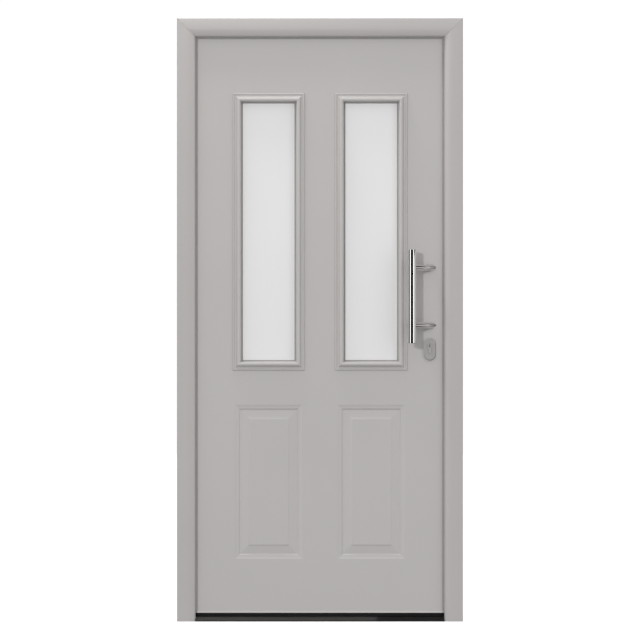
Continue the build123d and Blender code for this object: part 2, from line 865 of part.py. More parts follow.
# Bottom of the leaf
def leaf_foot():
    """The drip rail across the outer face and two seals that reach down to the threshold."""
    rail_end = half_width - nose_reach - drip_side_gap
    rail_front = leaf_front_y - drip_projection
    rail_top = (leaf_front_y, leaf_bottom + drip_height)
    lip_top = (rail_front, leaf_bottom + drip_lip)
    rail_sides = Polyline(rail_top, (leaf_front_y, leaf_bottom), (rail_front, leaf_bottom), lip_top)
    rail_slope = TangentArc(lip_top, rail_top, tangent=(0, 1))
    rail = along_x(make_face(rail_sides + rail_slope), (-rail_end, rail_end))
    seal_x = grown(body_x, -bottom_seal_inset)
    seal_z = (threshold_height + bottom_seal_clearance, leaf_bottom)
    seals = []
    for profile_y in (edge_outer_y, edge_inner_y):
        middle = (profile_y[0] + profile_y[1]) / 2
        seals.append(block(seal_x, grown((middle, middle), bottom_seal_thickness / 2), seal_z))
    return {"drip_rail": rail, "bottom_seals": Part() + seals}


pieces = {}
for group in (
    frame_profiles(),
    frame_seals(),
    threshold(),
    leaf_edges(),
    leaf_panels(),
    windows(),
    pull_handle(),
    lock_set(),
    lock_edge(),
    hinges(),
    leaf_foot(),
):
    pieces.update(group)

os.makedirs("parts", exist_ok=True)
for name, shape in pieces.items():
    export_step(shape, f"parts/{name}.step")
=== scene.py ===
import math

import bmesh
import bpy
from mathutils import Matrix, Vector


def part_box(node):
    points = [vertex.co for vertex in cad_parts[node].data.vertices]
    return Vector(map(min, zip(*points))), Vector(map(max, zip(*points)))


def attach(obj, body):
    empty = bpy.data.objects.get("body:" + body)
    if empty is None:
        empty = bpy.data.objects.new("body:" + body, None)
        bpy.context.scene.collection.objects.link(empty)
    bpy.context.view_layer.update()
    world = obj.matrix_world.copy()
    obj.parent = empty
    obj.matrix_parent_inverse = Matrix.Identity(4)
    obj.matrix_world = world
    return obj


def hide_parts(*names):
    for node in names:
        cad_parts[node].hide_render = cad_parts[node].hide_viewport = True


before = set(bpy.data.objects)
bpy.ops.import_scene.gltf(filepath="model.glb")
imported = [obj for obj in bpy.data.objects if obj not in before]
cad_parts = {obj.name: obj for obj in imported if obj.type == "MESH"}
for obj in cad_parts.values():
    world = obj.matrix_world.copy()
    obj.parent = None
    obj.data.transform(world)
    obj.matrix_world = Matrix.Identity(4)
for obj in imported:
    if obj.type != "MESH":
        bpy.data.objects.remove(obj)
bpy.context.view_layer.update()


# Jambs and head, outer half. Each is an extruded aluminium profile, a flat face with a rounded nose, hollow
# behind both. They are sawn at 45 degrees, pressed together over corner cleats and powder coated in a light
# warm grey. The saw cut stays visible at both top corners as a hairline.
jamb_low, jamb_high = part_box("hinge_jamb_outer_profile")
half_width = -jamb_low.x
frame_top = jamb_high.z
front_y = jamb_low.y
outer_profile_back = jamb_high.y
nose_reach = jamb_high.x + half_width
rebate_reach = 0.048
flat_width = 0.036
nose_depth = 0.019
nose_rim = 0.002
corner_round = 0.003
profile_wall = 0.002
shoulder_inset = 0.006
mitre_gap = 0.00012
frame_grey = (0.398, 0.382, 0.376, 1.0)


class Wire:
    """A socket in a finish, which can be written into sums."""

    def __init__(self, finish, socket):
        self.finish = finish
        self.socket = socket

    def sum(self, operation, first, second):
        return self.finish.node("ShaderNodeMath", {"operation": operation}, {0: first, 1: second})

    def __add__(self, other):
        return self.sum("ADD", self, other)

    def __mul__(self, other):
        return self.sum("MULTIPLY", self, other)

    __radd__ = __add__
    __rmul__ = __mul__


class Finish:
    """A material, with the nodes that its colour, gloss and relief come from."""

    def __init__(self, name, constants):
        self.material = bpy.data.materials.new(name)
        self.material.use_nodes = True
        self.tree = self.material.node_tree
        self.shader = self.tree.nodes["Principled BSDF"]
        self.give(self.shader, constants)

    def give(self, node, inputs):
        """Gives each named socket its value or its link."""
        for socket, value in inputs.items():
            if isinstance(value, Wire):
                self.tree.links.new(value.socket, node.inputs[socket])
            else:
                node.inputs[socket].default_value = value

    def node(self, kind, settings=None, inputs=None, output=0):
        """Adds a node, sets it, and then fills its sockets."""
        node = self.tree.nodes.new(kind)
        for setting, value in (settings or {}).items():
            setattr(node, setting, value)
        self.give(node, inputs or {})
        return Wire(self, node.outputs[output])

    def grain(self, scale, detail=2.0, stretch=(1.0, 1.0, 1.0)):
        """A cloudy pattern fixed to the piece, with so many features a metre, stretched along each axis."""
        place = self.node("ShaderNodeTexCoord", output="Object")
        place = self.node("ShaderNodeMapping", inputs={"Vector": place, "Scale": stretch})
        return self.node("ShaderNodeTexNoise", inputs={"Vector": place, "Scale": scale, "Detail": detail})

    def between(self, factor, first, second):
        """A colour between two others."""
        inputs = {0: factor, 6: first, 7: second}
        return self.node("ShaderNodeMix", {"data_type": "RGBA"}, inputs, output=2)

    def relief(self, height, depth, strength=1.0):
        """A fine relief of the surface, with its depth in metres."""
        inputs = {"Height": height, "Distance": depth, "Strength": strength}
        return self.node("ShaderNodeBump", inputs=inputs)

    def surface(self, inputs):
        """Leads what varies to the shader and gives back the finished material."""
        self.give(self.shader, inputs)
        return self.material


def shade(colour, factor):
    """The same colour, lighter or darker."""
    return tuple(part * factor for part in colour[:3]) + (1.0,)


def powder_coat(name, colour, roughness=0.42):
    """Satin powder coat with a slight orange peel, a faint cloud of tone and the finest fleck."""
    finish = Finish(name, {"IOR": 1.5, "Specular IOR Level": 0.4})
    cloud = finish.grain(2.3, 3.0)
    fleck = finish.grain(1400.0, 1.0)
    peel = finish.grain(430.0, 2.0)
    tone = finish.between(cloud * 0.75 + fleck * 0.25, shade(colour, 0.955), shade(colour, 1.045))
    gloss = roughness - 0.05 + fleck * 0.1
    return finish.surface({"Base Color": tone, "Roughness": gloss, "Normal": finish.relief(peel, 0.00005)})


def bend(start, heading, end, steps=8):
    """Points of the arc that leaves start along a heading and arrives at end, without start itself."""
    start, heading, chord = Vector(start), Vector(heading).normalized(), Vector(end) - Vector(start)
    side = Vector((-heading.y, heading.x))
    if chord.dot(side) < 0:
        side = -side
    radius = chord.length_squared / (2 * chord.dot(side))
    turn = 2 * math.atan2(chord.dot(side), chord.dot(heading))
    points = []
    for step in range(1, steps + 1):
        angle = turn * step / steps
        swing = heading * math.sin(angle) - side * math.cos(angle)
        points.append(tuple(start + side * radius + radius * swing))
    return points


def piece_from(mesh, name, rounding=0.0, segments=2, closed=True, crease=28.0):
    """Turns worked geometry into a piece, with its arrises rounded where a rounding is given."""
    if closed:
        bmesh.ops.remove_doubles(mesh, verts=mesh.verts, dist=1e-6)
        bmesh.ops.recalc_face_normals(mesh, faces=mesh.faces)
    data = bpy.data.meshes.new(name)
    mesh.to_mesh(data)
    mesh.free()
    data.shade_smooth()
    piece = bpy.data.objects.new(name, data)
    bpy.context.scene.collection.objects.link(piece)
    if rounding:
        bevel = piece.modifiers.new("rounded arrises", "BEVEL")
        bevel.width = rounding
        bevel.segments = segments
        bevel.limit_method = "ANGLE"
        bevel.angle_limit = math.radians(crease)
        bevel.harden_normals = True
    else:
        data.set_sharp_from_angle(angle=math.radians(crease))
    return piece


def fill_between(mesh, loops):
    """A flat face inside the first loop and outside the others."""
    edges = []
    for loop in loops:
        for index, vert in enumerate(loop):
            other = loop[(index + 1) % len(loop)]
            edges.append(mesh.edges.get((vert, other)) or mesh.edges.new((vert, other)))
    bmesh.ops.triangle_fill(mesh, edges=edges, use_beauty=True)


def walls(mesh, first, last):
    """Faces between two closed loops of as many points."""
    for index in range(len(first)):
        follow = (index + 1) % len(first)
        mesh.faces.new((first[index], first[follow], last[follow], last[index]))


def carry(mesh, loops, start, end):
    """A solid bar or plate: an outline and its hollows, carried from one end to the other."""
    ends = [[[mesh.verts.new(place(*point)) for point in loop] for loop in loops] for place in (start, end)]
    for first, last in zip(*ends):
        walls(mesh, first, last)
    for loops_at_end in ends:
        fill_between(mesh, loops_at_end)


def fit(piece, material, body, slot, *nodes):
    """Gives a piece its finish, the body that it moves with and the nodes that it stands for."""
    piece.data.materials.append(material)
    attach(piece, body)
    if nodes:
        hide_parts(*nodes)


def mitred(section_loops, label, material, rounding):
    """Both jambs and the head of one profile, each cut at 45 degrees at the top corners."""
    for jamb, side in (("hinge_jamb", -1), ("lock_jamb", 1)):
        mesh = bmesh.new()
        carry(
            mesh,
            section_loops,
            lambda inward, y: (side * (half_width - inward), y, 0),
            lambda inward, y: (side * (half_width - inward), y, frame_top - inward - mitre_gap),
        )
        piece = piece_from(mesh, f"{jamb}_{label}_painted", rounding)
        fit(piece, material, "frame", "frame_paint", f"{jamb}_{label}")
    mesh = bmesh.new()
    carry(
        mesh,
        section_loops,
        lambda inward, y: (inward + mitre_gap - half_width, y, frame_top - inward),
        lambda inward, y: (half_width - inward - mitre_gap, y, frame_top - inward),
    )
    piece = piece_from(mesh, f"head_{label}_painted", rounding)
    fit(piece, material, "frame", "frame_paint", f"head_{label}")


nose_shoulder = (nose_reach - shoulder_inset, front_y + shoulder_inset)
nose_radius = ((nose_reach - flat_width) ** 2 + nose_depth**2) / (2 * nose_depth)
nose_back = front_y + nose_depth + nose_rim
nose_chamber_back = nose_back - profile_wall
to_centre = front_y + nose_radius - nose_chamber_back
chamber_tip = flat_width + math.sqrt((nose_radius - profile_wall) ** 2 - to_centre**2)
chamber_front = front_y + profile_wall
outer_loop = [(0, front_y + corner_round)]
outer_loop += bend((0, front_y + corner_round), (0, -1), (corner_round, front_y), 5)
outer_loop += [(flat_width, front_y)]
outer_loop += bend((flat_width, front_y), (1, 0), nose_shoulder)
# The second arc leaves the shoulder in the direction in which the first one comes to it.
shoulder_run = nose_shoulder[0] - flat_width
shoulder_heading = (shoulder_run**2 - shoulder_inset**2, 2 * shoulder_run * shoulder_inset)
outer_loop += bend(nose_shoulder, shoulder_heading, (nose_reach, front_y + nose_depth))
outer_loop += [(nose_reach, nose_back), (rebate_reach, nose_back)]
outer_loop += [(rebate_reach, outer_profile_back), (0, outer_profile_back)]
chamber_loop = [(profile_wall, chamber_front), (flat_width, chamber_front)]
chamber_loop += bend((flat_width, chamber_front), (1, 0), (chamber_tip, nose_chamber_back), 10)
chamber_loop += [
    (rebate_reach - profile_wall, nose_chamber_back),
    (rebate_reach - profile_wall, outer_profile_back - profile_wall),
    (profile_wall, outer_profile_back - profile_wall),
]
frame_coat = powder_coat("frame_powder_coat", frame_grey)
mitred([outer_loop, chamber_loop], "outer_profile", frame_coat, 0.0003)


# Jambs and head, inner half. A second aluminium profile, joined to the outer one by strips of black polyamide
# that keep the cold out. The jambs are screwed to the wall through bores in this half.
def softened(node, name, rounding, crease=28.0):
    """A copy of a made part with its triangles merged and its arrises rounded."""
    mesh = bmesh.new()
    mesh.from_mesh(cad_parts[node].data)
    bmesh.ops.remove_doubles(mesh, verts=mesh.verts, dist=1e-6)
    bmesh.ops.dissolve_limit(mesh, angle_limit=math.radians(1), verts=mesh.verts, edges=mesh.edges)
    return piece_from(mesh, name, rounding, closed=False, crease=crease)


def dress(node, material):
    """Gives a made part that stays as it is its finish."""
    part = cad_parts[node]
    for slot in part.material_slots:
        slot.material = material


def polyamide(name):
    """Black glass-filled polyamide: matt, with fine pale fibres along the strip."""
    finish = Finish(name, {"IOR": 1.53})
    fibres = finish.grain(900.0, 3.0, (1.0, 1.0, 0.08))
    tone = finish.between(fibres, (0.012, 0.012, 0.013, 1.0), (0.045, 0.045, 0.047, 1.0))
    return finish.surface({"Base Color": tone, "Roughness": 0.55 + fibres * 0.2,
                           "Normal": finish.relief(fibres, 0.00003)})


strip_black = polyamide("black_polyamide")
for member in ("hinge_jamb", "lock_jamb", "head"):
    piece = softened(f"{member}_inner_profile", f"{member}_inner_profile_painted", 0.0005)
    fit(piece, frame_coat, "frame", "frame_paint", f"{member}_inner_profile")
    dress(f"{member}_thermal_break", strip_black)


# Frame seals. Two extruded rubber strips pressed into grooves, one behind the nose and one on the inner step,
# running up, across and down in one length each, with the corners cut and glued.
seal_grey = (0.26, 0.252, 0.245, 1.0)


def rubber(name, colour):
    """Matt extruded rubber with faint lines along it and a bloom of dust."""
    finish = Finish(name, {"IOR": 1.5, "Specular IOR Level": 0.35})
    bloom = finish.grain(60.0, 3.0)
    pores = finish.grain(1500.0, 1.0)
    tone = finish.between(bloom * 0.6 + pores * 0.4, shade(colour, 0.8), shade(colour, 1.2))
    return finish.surface({"Base Color": tone, "Roughness": 0.6 + bloom * 0.2,
                           "Normal": finish.relief(pores, 0.00004)})


def three_sided(section, foot_z, name, rounding):
    """A strip up one jamb, along the head and down the other, in one length."""
    mesh = bmesh.new()
    rings = [[], [], [], []]
    for inward, y in section:
        x = half_width - inward
        top = frame_top - inward
        for ring, place in zip(rings, ((-x, y, foot_z), (-x, y, top), (x, y, top), (x, y, foot_z))):
            ring.append(mesh.verts.new(place))
    for first, last in zip(rings, rings[1:]):
        walls(mesh, first, last)
    fill_between(mesh, [rings[0]])
    fill_between(mesh, [rings[-1]])
    return piece_from(mesh, name, rounding)


outer_seal_low, outer_seal_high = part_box("outer_frame_seal")
inner_seal_low, inner_seal_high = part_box("inner_frame_seal")
outer_root = nose_reach - 0.012
lip_end = nose_reach + 0.007
lip_tip = lip_end - 0.0008
lip_hollow = 0.0035
lip_thickness = 0.0025
lip_y = outer_seal_high.y
seal_rubber = rubber("grey_seal_rubber", seal_grey)
outer_seal = [(outer_root, nose_back), (nose_reach, nose_back)]
outer_seal += bend((nose_reach, nose_back), (1, 0.25), (lip_tip, lip_y - lip_thickness), 4)
outer_seal += bend(outer_seal[-1], (1, 0.3), (lip_tip, lip_y), 6)
outer_seal += [(nose_reach, lip_y), (nose_reach - lip_hollow, nose_back + lip_thickness)]
outer_seal += [(outer_root, nose_back + lip_thickness)]
piece = three_sided(outer_seal, outer_seal_low.z, "outer_seal_strip", 0.0003)
fit(piece, seal_rubber, "frame", "seal_rubber", "outer_frame_seal")

seal_half_root = 0.006
seal_root_height = 0.002
step_middle = 0.039
step_y = inner_seal_low.y
crown_y = inner_seal_high.y
inner_seal = [(step_middle - seal_half_root, step_y), (step_middle + seal_half_root, step_y)]
root_y = step_y + seal_root_height
inner_seal += [(step_middle + seal_half_root, root_y)]
inner_seal += bend(inner_seal[-1], (-0.6, 1), (step_middle, crown_y), 6)
inner_seal += bend((step_middle, crown_y), (-1, 0), (step_middle - seal_half_root, root_y), 6)
piece = three_sided(inner_seal, inner_seal_low.z, "inner_seal_strip", 0.0002)
fit(piece, seal_rubber, "frame", "seal_rubber", "inner_frame_seal")


# Threshold. An outer sill that sheds the rain, an insulating core and an inner sill, notched round the jambs.
# Both sills are dark anodised aluminium with the lines of the die along them.
def anodised(name, dark, light):
    """Anodised aluminium with fine drawn lines across the door."""
    finish = Finish(name, {"Metallic": 0.85})
    lines = finish.grain(700.0, 2.0, (0.02, 1.0, 1.0))
    wear = finish.grain(9.0, 4.0)
    tone = finish.between(lines * 0.5 + wear * 0.5, dark, light)
    return finish.surface({"Base Color": tone, "Roughness": 0.34 + lines * 0.2,
                           "Normal": finish.relief(lines, 0.00006)})


sill_finish = anodised("dark_anodised_sill", (0.053, 0.051, 0.048, 1.0), (0.126, 0.121, 0.116, 1.0))
for part in ("outer_sill", "inner_sill"):
    piece = softened(f"threshold_{part}", f"{part}_anodised", 0.0006)
    fit(piece, sill_finish, "frame", "sill_metal", f"threshold_{part}")
dress("threshold_core", strip_black)


# Leaf faces. Each is one aluminium sheet, pressed into a hollow round the two raised panels at the bottom,
# with the windows and the slot for the lock cut out, glued to the foam core and powder coated.
skin_low, skin_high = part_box("leaf_outer_skin")
inner_skin_low, inner_skin_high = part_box("leaf_inner_skin")
pane_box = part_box("left_outer_pane")
moulding_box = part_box("left_outer_moulding")
cylinder_low, cylinder_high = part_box("lock_cylinder")
leaf_face = skin_low.y
leaf_back = inner_skin_high.y
sheet = 0.002
window_x = -(moulding_box[0].x + moulding_box[1].x) / 2
window_z = (moulding_box[0].z + moulding_box[1].z) / 2
pane_edge_gap = 0.003
window_half = Vector((pane_box[1].x + window_x + pane_edge_gap, pane_box[1].z - window_z + pane_edge_gap))
panel_half = Vector((0.1175, 0.2695))
panel_foot = 0.219
panel_z = panel_foot + panel_half.y
panel_relief = [(0.0, 0.0), (0.006, 0.0018), (0.013, 0.0026), (0.018, 0.0062), (0.045, 0.0024), (0.05, 0.0)]
pressed_rounding = 0.0011
lock_slot_gap = 0.00025
leaf_grey = (0.425, 0.411, 0.402, 1.0)
four_corners = ((-1, -1), (1, -1), (1, 1), (-1, 1))


def rectangle(centre, half, inset=0.0):
    """Corners of a rectangle, drawn in by an inset."""
    x = half.x - inset
    z = half.y - inset
    return [(centre[0] + i * x, centre[1] + j * z) for i, j in four_corners]


def pressed_sheet(name, face_y, inwards, low, high):
    """The sheet with its windows cut out and its panels pressed, and then given its thickness."""
    mesh = bmesh.new()

    def loop(corners, depth=0.0):
        return [mesh.verts.new((x, face_y + inwards * depth, z)) for x, z in corners]

    middle = ((low.x + high.x) / 2, (low.z + high.z) / 2)
    edge = loop(rectangle(middle, Vector((high.x - low.x, high.z - low.z)) / 2))
    holes = [loop(rectangle((side * window_x, window_z), window_half)) for side in (-1, 1)]
    slot_middle = ((cylinder_low.x + cylinder_high.x) / 2, (cylinder_low.z + cylinder_high.z) / 2)
    slot_half = Vector((cylinder_high.x - cylinder_low.x, cylinder_high.z - cylinder_low.z)) / 2
    holes.append(loop(rectangle(slot_middle, slot_half, -lock_slot_gap)))
    for side in (-1, 1):
        centre = (side * window_x, panel_z)
        rings = [loop(rectangle(centre, panel_half, inset), depth) for inset, depth in panel_relief]
        holes.append(rings[0])
        for outer, inner in zip(rings, rings[1:]):
            walls(mesh, outer, inner)
        mesh.faces.new(rings[-1])
    fill_between(mesh, [edge] + holes)
    bmesh.ops.recalc_face_normals(mesh, faces=mesh.faces)
    if max(mesh.faces, key=lambda face: face.calc_area()).normal.y * inwards > 0:
        bmesh.ops.reverse_faces(mesh, faces=mesh.faces)
    piece = piece_from(mesh, name, pressed_rounding, 3, closed=False, crease=8.0)
    thickness = piece.modifiers.new("sheet thickness", "SOLIDIFY")
    thickness.thickness = sheet
    thickness.offset = -1
    thickness.use_even_offset = True
    piece.modifiers.move(1, 0)
    return piece


leaf_coat = powder_coat("leaf_powder_coat", leaf_grey)
for side, face_y, inwards, low, high in (
    ("outer", leaf_face, 1, skin_low, skin_high),
    ("inner", leaf_back, -1, inner_skin_low, inner_skin_high),
):
    piece = pressed_sheet(f"{side}_pressed_sheet", face_y, inwards, low, high)
    fit(piece, leaf_coat, "leaf", "leaf_paint", f"leaf_{side}_skin")


# Leaf edge and core. Hollow aluminium profiles run round the foam core, an outer and an inner one with a
# polyamide strip between them. The inner one stands out as a lip that closes on the seal on the frame's step.
def foam(name):
    """Cream rigid foam with small closed cells."""
    finish = Finish(name, {"Roughness": 0.9})
    cells = finish.node("ShaderNodeTexVoronoi", inputs={
        "Vector": finish.node("ShaderNodeTexCoord", output="Object"), "Scale": 900.0})
    tone = finish.between(cells, (0.55, 0.47, 0.3, 1.0), (0.78, 0.7, 0.5, 1.0))
    return finish.surface({"Base Color": tone, "Normal": finish.relief(cells, 0.0002)})


for side in ("outer", "inner"):
    piece = softened(f"leaf_edge_{side}", f"leaf_edge_{side}_painted", 0.0005)
    fit(piece, leaf_coat, "leaf", "leaf_paint", f"leaf_edge_{side}")
dress("leaf_edge_break", strip_black)
dress("leaf_core", foam("rigid_foam"))


# Window mouldings. Moulded frames of a small bead, a cove and a large roll, which hold the glass with a short
# leg. The outer and the inner frame are screwed together through the leaf and painted like it.
bead_width = 0.006
bead_height = 0.005
cove_width = 0.008
cove_floor = 0.0025
roll_width = 0.015
roll_height = 0.014
roll_shoulder = 0.007
moulding_fall = 0.0025
moulding_leg = 0.0045
leg_depth = moulding_box[1].y - leaf_face
moulding_half = Vector((moulding_box[1].x - moulding_box[0].x, moulding_box[1].z - moulding_box[0].z)) / 2


def crowned(start, crown, end, steps=6):
    """Points of a hump that rises from start to a level crown and falls to end, with both ends."""
    rise = bend(crown, (-1, 0), start, steps)[::-1]
    return rise + [crown] + bend(crown, (1, 0), end, steps)


def ring(mesh, section, centre, half, height_at):
    """A closed frame of one section round a rectangle, its corners mitred."""
    loops = []
    for inward, height in section:
        corners = rectangle(centre, half, inward)
        loops.append([mesh.verts.new((x, height_at(height), z)) for x, z in corners])
    for outer, inner in zip(loops, loops[1:] + loops[:1]):
        for index in range(4):
            follow = (index + 1) % 4
            mesh.faces.new((outer[index], outer[follow], inner[follow], inner[index]))
            mesh.edges.get((outer[index], inner[index])).smooth = False


def rings(name, section, centres, half, height_at):
    """One piece of such frames, smooth along their runs and sharp at their mitres."""
    mesh = bmesh.new()
    for centre in centres:
        ring(mesh, section, centre, half, height_at)
    bmesh.ops.recalc_face_normals(mesh, faces=mesh.faces)
    for edge in mesh.edges:
        if edge.calc_face_angle(0) > math.radians(28):
            edge.smooth = False
    data = bpy.data.meshes.new(name)
    mesh.to_mesh(data)
    mesh.free()
    piece = bpy.data.objects.new(name, data)
    bpy.context.scene.collection.objects.link(piece)
    return piece


def from_outside(height):
    """A height above the outer face of the leaf as a place along Y."""
    return leaf_face - height


def from_inside(height):
    """The same height above the inner face."""
    return leaf_back + height


roll_start = bead_width + cove_width
roll_end = roll_start + roll_width
moulding_run = roll_end + moulding_fall
leg_start = moulding_run - moulding_leg
moulding = crowned((0, cove_floor), (bead_width / 2, bead_height), (bead_width, cove_floor))
moulding += bend((bead_width, cove_floor), (1, 0), (roll_start, roll_shoulder), 8)
moulding += crowned(
    (roll_start, roll_shoulder), (roll_start + roll_width / 2, roll_height), (roll_end, roll_shoulder), 12
)[1:]
moulding += [(moulding_run, -leg_depth), (leg_start, -leg_depth), (leg_start, 0), (0, 0)]
for name, side in (("left", -1), ("right", 1)):
    for face, height_at in (("outer", from_outside), ("inner", from_inside)):
        centre = (side * window_x, window_z)
        piece = rings(f"{name}_{face}_moulding_painted", moulding, [centre], moulding_half, height_at)
        fit(piece, leaf_coat, "leaf", "leaf_paint", f"{name}_{face}_moulding")


# Glass. Each window is a sealed unit of two satin etched panes on an aluminium spacer, bedded between grey
# rubber gaskets whose lips show round the glass.
gasket_thickness = 0.003
gasket_lip = 0.004
gasket_half = moulding_half - Vector((leg_start, leg_start))


def etched_glass(name):
    """Glass etched white on its face, so that it scatters light and shows only soft shapes."""
    finish = Finish(name, {"IOR": 1.5, "Transmission Weight": 0.12})
    etching = finish.grain(2600.0, 2.0)
    cloud = finish.grain(1.7, 2.0)
    tone = finish.between(cloud, (0.745, 0.737, 0.739, 1.0), (0.785, 0.777, 0.78, 1.0))
    return finish.surface({"Base Color": tone, "Roughness": 0.36 + etching * 0.12,
                           "Normal": finish.relief(etching, 0.00003)})


def mill_aluminium(name):
    """Bare aluminium strip with fine lines along it; its small holes for the drying agent are not drawn."""
    finish = Finish(name, {"Metallic": 1.0})
    lines = finish.grain(1200.0, 2.0, (0.05, 1.0, 0.05))
    tone = finish.between(lines, (0.42, 0.42, 0.43, 1.0), (0.6, 0.6, 0.61, 1.0))
    return finish.surface({"Base Color": tone, "Roughness": 0.35 + lines * 0.15})


glass = etched_glass("etched_glass")
lip_round = ((0.0, 0.0), (0.6, 0.2), (0.92, 0.45), (1.0, 0.7), (1.0, 1.0))
gasket = [(0, -leg_depth)]
gasket += [(moulding_leg + gasket_lip * i, -leg_depth - gasket_thickness * j) for i, j in lip_round]
gasket += [(0, -leg_depth - gasket_thickness)]
window_centres = [(side * window_x, window_z) for side in (-1, 1)]
for face, height_at in (("outer", from_outside), ("inner", from_inside)):
    piece = rings(f"{face}_glazing_rubber", gasket, window_centres, gasket_half, height_at)
    fit(piece, seal_rubber, "leaf", "seal_rubber", f"{face}_glazing_gaskets")
    for name in ("left", "right"):
        dress(f"{name}_{face}_pane", glass)
dress("glazing_spacers", mill_aluminium("mill_aluminium"))


# Drip rail and bottom seals. A small aluminium rail with a rounded top throws water clear of the threshold,
# and two rubber blades under the leaf close the gap above the sills.
rail_low, rail_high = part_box("drip_rail")
drip_lip = 0.0025
rail = [(rail_high.y, rail_low.z), (rail_low.y, rail_low.z), (rail_low.y, rail_low.z + drip_lip)]
rail += bend((rail_low.y, rail_low.z + drip_lip), (0, 1), (rail_high.y, rail_high.z), 8)
mesh = bmesh.new()
carry(mesh, [rail], lambda y, z: (rail_low.x, y, z), lambda y, z: (rail_high.x, y, z))
piece = piece_from(mesh, "drip_rail_painted", 0.0004)
fit(piece, leaf_coat, "leaf", "leaf_paint", "drip_rail")
piece = softened("bottom_seals", "bottom_seal_blades", 0.0006)
fit(piece, rubber("black_seal_rubber", (0.012, 0.012, 0.012, 1.0)), "leaf", "seal_rubber", "bottom_seals")


# Pull bar. A polished stainless steel tube with closed ends, on two round standoffs that are coped to it, run
# back and across at 45 degrees, and are bolted through the leaf from inside.
bar_low, bar_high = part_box("pull_bar")
bar_centre = (bar_low + bar_high) / 2
bar_radius = (bar_high.x - bar_low.x) / 2
bar_edge = 0.0015
cope_gap = 0.0001
around = 96


def turned(mesh, base, axis, outline, count=around):
    """A turned part: radii and heights along an axis from its base, spun round, with closed poles."""
    axis = Vector(axis).normalized()
    across = axis.orthogonal().normalized()
    third = axis.cross(across)
    rings = []
    for radius, height in outline:
        centre = Vector(base) + axis * height
        if radius == 0:
            rings.append([mesh.verts.new(centre)] * count)
            continue
        angles = [2 * math.pi * step / count for step in range(count)]
        rings.append(
            [mesh.verts.new(centre + radius * (across * math.cos(a) + third * math.sin(a))) for a in angles]
        )
    for low, high in zip(rings, rings[1:]):
        for index in range(count):
            follow = (index + 1) % count
            corners = dict.fromkeys((low[index], low[follow], high[follow], high[index]))
            mesh.faces.new(list(corners))


def polished(name, base, roughness, stretch):
    """Polished steel with the faint lines of the last belt."""
    finish = Finish(name, {"Metallic": 1.0})
    lines = finish.grain(900.0, 3.0, stretch)
    tone = finish.between(lines, shade(base, 0.94), base)
    return finish.surface({"Base Color": tone, "Roughness": roughness + lines * 0.02,
                           "Normal": finish.relief(lines, 0.000004)})


steel = polished("polished_steel", (0.83, 0.82, 0.81, 1.0), 0.02, (1.0, 1.0, 0.03))
mesh = bmesh.new()
bar_length = bar_high.z - bar_low.z
lower_end = [(0.0, 0.0), (bar_radius - bar_edge, 0.0)]
lower_end += bend((bar_radius - bar_edge, 0.0), (1, 0), (bar_radius, bar_edge), 6)
upper_end = [(radius, bar_length - height) for radius, height in reversed(lower_end)]
turned(mesh, (bar_centre.x, bar_centre.y, bar_low.z), (0, 0, 1), lower_end + upper_end)
fit(piece_from(mesh, "steel_pull_bar"), steel, "leaf", "polished_steel", "pull_bar")

for place in ("upper", "lower"):
    standoff_low, standoff_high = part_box(f"{place}_standoff")
    radius = (standoff_high.z - standoff_low.z) / 2
    middle = Vector((bar_centre.x, bar_centre.y, (standoff_low.z + standoff_high.z) / 2))
    run = Vector((1, 1, 0)).normalized()
    across = Vector((1, -1, 0)).normalized()
    mesh = bmesh.new()
    coped, footed = [], []
    for step in range(around):
        angle = 2 * math.pi * step / around
        line = middle + radius * (across * math.cos(angle) + Vector((0, 0, 1)) * math.sin(angle))
        offset = radius * math.cos(angle)
        coped.append(mesh.verts.new(line + run * math.sqrt((bar_radius + cope_gap) ** 2 - offset**2)))
        footed.append(mesh.verts.new(line + run * (leaf_face - line.y) / run.y))
    walls(mesh, coped, footed)
    mesh.faces.new(footed)
    bmesh.ops.triangle_fill(mesh, edges=[edge for edge in mesh.edges if edge.is_boundary], use_beauty=True)
    fit(piece_from(mesh, f"{place}_steel_standoff"), steel, "leaf", "polished_steel", f"{place}_standoff")


# Escutcheon and lock cylinder outside. A cast oval plate with a sunk field is held from behind, and the
# nickel plated profile cylinder stands a little proud of it. Its plug turns with the key.
plate_low, plate_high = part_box("outer_escutcheon")
plug_low, plug_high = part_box("lock_plug")
plate_edge = 0.0025
plate_ring = 0.005
plate_dish = 0.0005
dish_slope = 0.0004
cylinder_gap = 0.00025
plug_gap = 0.00008
plug_end_gap = 0.0006
cylinder_x = (plug_low.x + plug_high.x) / 2
cylinder_z = (plug_low.z + plug_high.z) / 2
plug_radius = (plug_high.x - plug_low.x) / 2
head_radius = (cylinder_high.x - cylinder_low.x) / 2
leg_radius = 0.005
keyway = Vector((0.0022, 0.009)) / 2
keyway_depth = 0.012
plate_grey = (0.315, 0.306, 0.3, 1.0)


def oval(low, high, inset=0.0, steps=20):
    """An upright slot shape with round ends inside a box, drawn in by an inset."""
    radius = (high.x - low.x) / 2
    x = (low.x + high.x) / 2
    points = []
    for top, z in ((1, high.z - radius), (-1, low.z + radius)):
        for step in range(steps + 1):
            angle = math.pi * step / steps
            reach = radius - inset
            points.append((x + top * reach * math.cos(angle), z + top * reach * math.sin(angle)))
    return points


def cylinder_loop(growth=0.0, steps=24):
    """The outline of a profile cylinder: a round head and a narrow leg with a round foot."""
    head = head_radius + growth
    leg = leg_radius + growth
    foot_z = cylinder_low.z + leg_radius
    opening = math.asin(leg / head)
    points = []
    for step in range(steps + 1):
        angle = -math.pi / 2 + opening + (2 * math.pi - 2 * opening) * step / steps
        points.append((cylinder_x + head * math.cos(angle), cylinder_z + head * math.sin(angle)))
    for step in range(steps // 2 + 1):
        angle = math.pi + math.pi * step / (steps // 2)
        points.append((cylinder_x + leg * math.cos(angle), foot_z + leg * math.sin(angle)))
    return points


